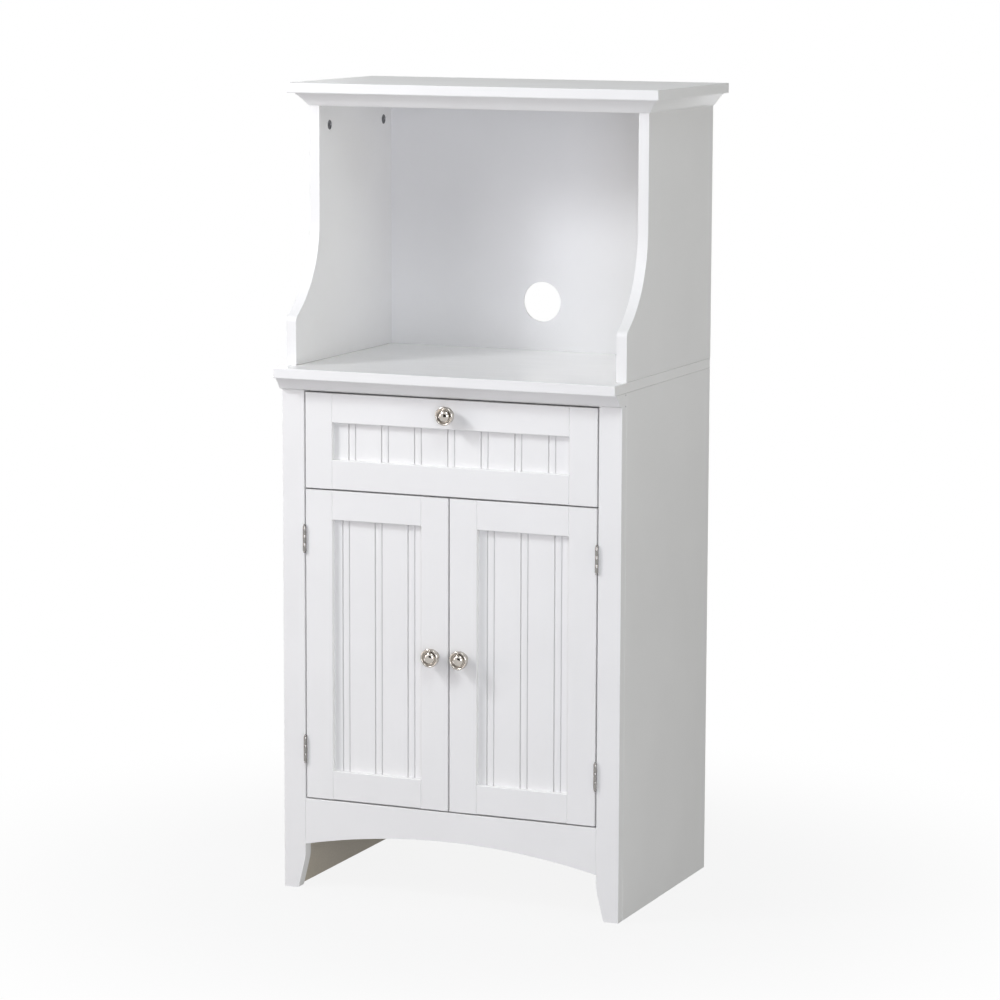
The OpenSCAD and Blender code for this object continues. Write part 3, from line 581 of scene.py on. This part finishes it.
knob_rings = (
    (0.2, 0.0), (7.9, 0.0), (8.35, 0.15), (8.5, 0.5), (8.5, 1.1), (8.3, 1.45), (7.4, 1.75),
    (6.5, 2.3), (5.9, 3.1), (5.6, 4.2), (5.5, 5.4), (5.6, 6.6), (5.95, 7.7), (6.7, 8.8),
    (7.9, 9.6), (9.4, 10.1), (11.0, 10.35), (12.2, 10.55), (12.85, 10.95), (13.05, 11.6),
    (12.95, 12.3), (12.5, 12.9), (12.35, 13.4), (12.6, 14.0), (13.3, 15.2), (13.85, 16.5),
    (14.15, 17.7), (14.2, 18.6), (14.05, 19.3), (13.65, 19.9), (13.05, 20.3), (12.4, 20.4),
    (11.8, 20.15), (11.3, 19.6), (10.85, 18.75), (10.4, 17.95), (9.8, 17.55), (9.2, 17.7),
    (8.85, 18.3), (8.6, 19.0), (7.9, 19.85), (6.9, 20.65), (5.6, 21.3), (4.0, 21.75),
    (2.2, 21.95), (0.2, 22.0),
)
knob_screw = turned("knob_screw", (
    (0.6, -17.5), (2.0, -16.5), (2.0, 0.0), (4.0, 0.0), (4.0, 0.75), (3.75, 1.5), (3.1, 2.0),
    (2.3, 2.2), (0.3, 2.2)), sides=40)
cross_recess(knob_screw, reach=2.2, width=0.9, low=0.3, high=3.0)
front_face = -0.170
front_back = -0.1524
for body in ("drawer", "left_door", "right_door"):
    node = body + "_knob"
    low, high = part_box(node)
    x, z = (low[0] + high[0]) / 2, (low[2] + high[2]) / 2
    knob = set_in_place(turned(node + "_turned", knob_rings), (x, front_face, z), (0, -1, 0))
    knob.data.materials.append(nickel)
    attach(knob, body)
    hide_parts(node)
    screw_from(knob_screw, node + "_screw", (x, front_back, z), (0, 1, 0), body)
bpy.data.objects.remove(knob_screw)

# ---------- Hinges ----------
# Pressed butt hinges plated with nickel, let in flush between door and frame, with three
# knuckles on a ball-tipped pin. Three small countersunk screws hold each leaf.
hinge_nickel = plated("hinge_nickel", (0.31, 0.30, 0.287), 0.13, (600, 600, 60))
finish_nodes(hinge_nickel, "hinge_pins")


def eased_block(name, low, high, ease):
    """A block between two corners in mm, with eased edges."""
    bpy.ops.object.select_all(action="DESELECT")
    bpy.ops.mesh.primitive_cube_add(size=mm,
                                    location=[(a + b) / 2 * mm for a, b in zip(low, high)])
    block = bpy.context.object
    block.name = name
    block.scale = [b - a for a, b in zip(low, high)]
    bpy.ops.object.transform_apply(location=True, rotation=True, scale=True)
    edges = block.modifiers.new("eased_edges", "BEVEL")
    edges.width = ease * mm
    edges.segments = 2
    bpy.ops.object.modifier_apply(modifier=edges.name)
    bpy.ops.object.shade_smooth_by_angle(angle=radians(40))
    return block


def joined(name, pieces):
    """Makes one piece of several."""
    bpy.ops.object.select_all(action="DESELECT")
    for piece in pieces:
        piece.select_set(True)
    bpy.context.view_layer.objects.active = pieces[0]
    bpy.ops.object.join()
    pieces[0].name = name
    return pieces[0]


# across the leaf and up it, in mm from the pin and from the lower end
hinge_screws_at = ((10.5, 6.5), (13.5, 19.0), (10.5, 31.5))
leaf_near, leaf_far = 0.25, 1.25
leaf_length = 38
knuckle_pitch, knuckle_length = 12.7667, 12.4667
knuckle_radius, pin_bore = 2.4, 1.27


def knuckle_and_neck(side, base):
    """One rolled knuckle that starts at that height, and the neck that joins it to the leaf."""
    bpy.ops.object.select_all(action="DESELECT")
    bpy.ops.mesh.primitive_cylinder_add(
        vertices=48, radius=knuckle_radius * mm, depth=knuckle_length * mm,
        location=(0, 0, (base + knuckle_length / 2) * mm))
    curl = bpy.context.object
    bpy.ops.object.transform_apply(location=True)
    rim = curl.modifiers.new("rounded_rim", "BEVEL")
    rim.width = 0.3 * mm
    rim.segments = 2
    rim.limit_method = "ANGLE"
    bpy.ops.object.modifier_apply(modifier=rim.name)
    bpy.ops.object.select_all(action="DESELECT")
    bpy.ops.mesh.primitive_cylinder_add(vertices=48, radius=pin_bore * mm, depth=60 * mm)
    bore = bpy.context.object
    cut(curl, bore)
    bpy.data.objects.remove(bore)
    # the seam where the leaf's end meets itself after it is rolled round the pin
    seam_x = -side * 1.15
    seam = eased_block("seam", (seam_x - 0.12, 1.5, base - 1), (seam_x + 0.12, 2.6, base + 13.5),
                       0.01)
    cut(curl, seam)
    bpy.data.objects.remove(seam)
    take(curl)
    bpy.ops.object.shade_smooth_by_angle(angle=radians(30))
    near, far = sorted((side * leaf_near, side * leaf_far))
    neck = eased_block("neck", (near, 1.75, base + 0.05), (far, 3.3, base + knuckle_length - 0.05),
                       0.1)
    return [curl, neck]


def hinge_half(name, side, knuckles):
    """A leaf that lies at that side of the pin, with its knuckles; the pin stands on the origin."""
    near, far = sorted((side * leaf_near, side * leaf_far))
    plate = eased_block(name, (near, 2.75, 0), (far, 17.75, leaf_length), 0.15)
    for y, z in hinge_screws_at:
        bpy.ops.object.select_all(action="DESELECT")
        bpy.ops.mesh.primitive_cone_add(
            vertices=32, radius1=3.1 * mm, radius2=1.5 * mm, depth=1.25 * mm,
            location=((near + far) / 2 * mm, y * mm, z * mm), rotation=(0, side * pi / 2, 0))
        sink = bpy.context.object
        cut(plate, sink)
        bpy.data.objects.remove(sink)
    pieces = [plate]
    for knuckle in knuckles:
        pieces += knuckle_and_neck(side, knuckle * knuckle_pitch)
    return joined(name, pieces)


hinge_screw = turned("hinge_screw", (
    (0.3, -10.0), (1.1, -9.0), (1.2, -1.15), (2.85, -0.08), (2.8, -0.01), (0.3, -0.01)), sides=32)
cross_recess(hinge_screw, reach=1.5, width=0.6, low=-0.9, high=0.5)
pin_x, pin_y = 0.23625, -0.172337
for side, sign in (("left", -1), ("right", 1)):
    door = side + "_door"
    for half, lies, knuckles, body, node in (
            ("frame", sign, (0, 2), "cabinet", "hinge_frame_leaves"),
            ("door", -sign, (1,), door, door + "_hinge_leaves")):
        master = hinge_half("hinge_half", lies, knuckles)
        for row, base in (("lower", 0.199), ("upper", 0.522)):
            leaf = another(master, f"{side}_{row}_hinge_{half}_leaf")
            leaf.location = (sign * pin_x, pin_y, base)
            bpy.ops.object.transform_apply(location=True)
            leaf.data.materials.append(hinge_nickel)
            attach(leaf, body)
            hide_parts(node)
            for count, (y, z) in enumerate(hinge_screws_at, 1):
                screw_from(hinge_screw, f"{side}_{row}_hinge_{half}_screw_{count}",
                           (sign * pin_x + lies * leaf_near * mm, pin_y + y * mm, base + z * mm),
                           (-lies, 0, 0), body)
        bpy.data.objects.remove(master)
bpy.data.objects.remove(hinge_screw)

# ---------- Magnet catches ----------
# A white nylon case with two steel pole plates, screwed by its ears under the divider rail,
# and a zinc strike plate on the back of each door.
finish_nodes(zinc, "left_door_strike", "right_door_strike")
rail_underside = 597.2
ears_underside = 594.6
ear_screws_y = -143.5
strike_face, strike_middle = -151.4, 590.75
for side, sign in (("left", -1), ("right", 1)):
    middle = sign * 25.25
    case = eased_block("case", (middle - 13.5, -150.5, 584.3),
                       (middle + 13.5, -136.2, rail_underside), 0.9)
    ears = eased_block("ears", (middle - 19.9, -149.0, ears_underside),
                       (middle + 19.9, -137.5, rail_underside), 0.6)
    body_of_catch = joined(side + "_catch_case", [case, ears])
    body_of_catch.data.materials.append(nylon)
    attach(body_of_catch, "cabinet")
    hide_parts("catch_bodies")
    poles = joined(side + "_catch_poles", [
        eased_block("pole", (middle - 11, -151.05, z), (middle + 11, -146, z + 1.2), 0.15)
        for z in (586.9, 592.2)])
    poles.data.materials.append(zinc)
    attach(poles, "cabinet")
    for count, x in enumerate((middle - 16.7, middle + 16.7), 1):
        screw_from(pan_screw, f"{side}_catch_screw_{count}",
                   (x * mm, ear_screws_y * mm, ears_underside * mm), (0, 0, -1), "cabinet")
    screw_from(flat_screw, f"{side}_strike_screw",
               (middle * mm, strike_face * mm, strike_middle * mm), (0, 1, 0), side + "_door")

# ---------- Pins and nails ----------
# Small sunk nail heads fix the sides to the face frame, and brads hold the lower back to the
# cabinet floor.
nail = turned("nail_head", (
    (0.3, -8.0), (0.8, -7.0), (0.8, -0.4), (1.1, -0.2), (1.1, 0.02), (0.9, 0.06), (0.2, 0.06)),
    sides=24)
case_side, stile_middle = 0.2735, -0.1565
back_face, floor_middle = 0.190, 0.133
for side, sign in (("left", -1), ("right", 1)):
    for count, z in enumerate((0.766, 0.7825), 1):
        pin = set_in_place(another(nail, f"{side}_side_nail_{count}"),
                           (sign * case_side, stile_middle, z), (sign, 0, 0))
        pin.data.materials.append(dark_zinc)
        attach(pin, "cabinet")
for count, x in enumerate((-0.22, -0.11, 0.0, 0.11, 0.22), 1):
    brad = set_in_place(another(nail, f"back_brad_{count}"), (x, back_face, floor_middle),
                        (0, 1, 0))
    brad.data.materials.append(zinc)
    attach(brad, "cabinet")
for master in (nail, flat_screw, pan_screw):
    bpy.data.objects.remove(master)
